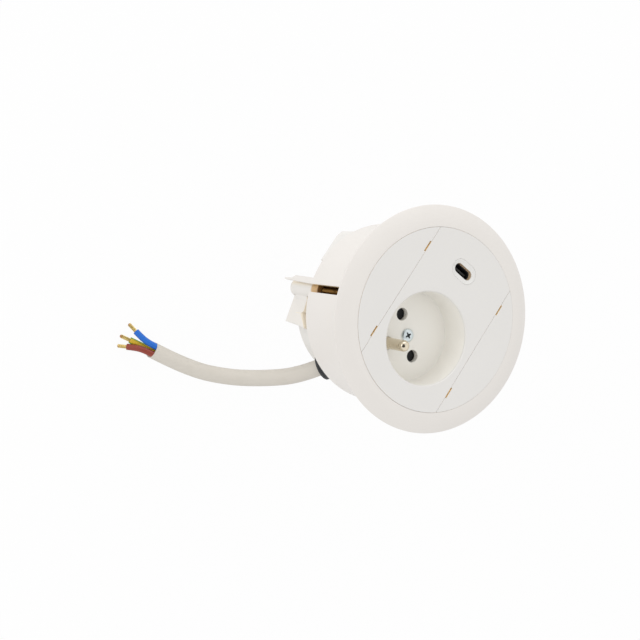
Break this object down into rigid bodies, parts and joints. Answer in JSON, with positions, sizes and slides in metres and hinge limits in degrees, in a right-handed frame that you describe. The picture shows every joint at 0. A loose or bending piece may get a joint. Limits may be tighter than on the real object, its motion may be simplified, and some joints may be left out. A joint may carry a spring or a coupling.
{
  "type": "in-desk power module",
  "caption": "Round white in-desk power module with a recessed earthed socket, a small charging port, rear clamp claws and a short cord with bare cores.",
  "frame": {"origin": "centre of the desk hole on the desk surface, under the flange", "axes": "+Z out of the face towards the user, +Y along the face from the socket to the charging port"},
  "size_m": [0.1236, 0.124, 0.1074],
  "materials": {
    "white_plastic": "satin moulded white plastic",
    "face_plastic": "satin moulded white plastic, fine grain",
    "well_plastic": "glossy moulded white plastic, a little warmer",
    "black_plastic": "matt black plastic",
    "beige_plastic": "matt beige heat-resisting plastic",
    "rubber": "matt black rubber",
    "nickel": "bright nickel plate",
    "zinc_steel": "zinc plated steel",
    "port_black": "blackened port lining",
    "clamp_brass": "yellow passivated steel",
    "brass": "plain brass strip",
    "copper": "bare copper strands",
    "board": "green circuit board",
    "core_iron": "dark ferrite and tape",
    "can": "sleeved aluminium can",
    "cord_white": "soft matt white sheath",
    "core_blue": "blue insulation",
    "core_green_yellow": "green and yellow striped insulation",
    "core_brown": "brown insulation"
  },
  "bodies": {
    "module": {"bezel_ring": "white_plastic", "front_panel": "face_plastic", "socket_well": "well_plastic", "cover_left": "face_plastic", "cover_right": "face_plastic", "port_surround": "face_plastic", "port_shell": "port_black", "port_blade": "black_plastic", "charger_board": "board", "transformer": "core_iron", "large_capacitor": "can", "small_capacitor": "can", "earth_pin": "nickel", "socket_screw": "zinc_steel", "contact_carrier": "beige_plastic", "contact_live": "brass", "contact_neutral": "brass", "earth_strap": "brass", "terminal_screw_live": "zinc_steel", "terminal_screw_neutral": "zinc_steel", "terminal_screw_earth": "zinc_steel", "rear_housing": "white_plastic", "housing_screw_left": "zinc_steel", "housing_screw_right": "zinc_steel", "clamp_screw_left": "clamp_brass", "clamp_screw_right": "clamp_brass", "cable_grommet": "rubber", "cable_jacket": "cord_white", "core_blue": "core_blue", "core_earth": "core_green_yellow", "core_brown": "core_brown", "strands_blue": "copper", "strands_earth": "copper", "strands_brown": "copper"},
    "claw_left": {"claw_left": "white_plastic"},
    "claw_right": {"claw_right": "white_plastic"},
    "shutter": {"shutter": "black_plastic"}
  },
  "joints": [
    {"name": "claw_left_swing", "type": "hinge", "parent": "module", "child": "claw_left", "pos_m": [-0.03162, -0.01027, -0.05], "axis": [0, 0, 1], "range_deg": [-90, 0]},
    {"name": "claw_right_swing", "type": "hinge", "parent": "module", "child": "claw_right", "pos_m": [0.03162, 0.01027, -0.05], "axis": [0, 0, 1], "range_deg": [-90, 0]},
    {"name": "shutter_slide", "type": "slide", "parent": "module", "child": "shutter", "axis": [0.599, 0.8007, 0], "range_m": [0, 0.0061], "stiffness_N_per_m": 120}
  ]
}
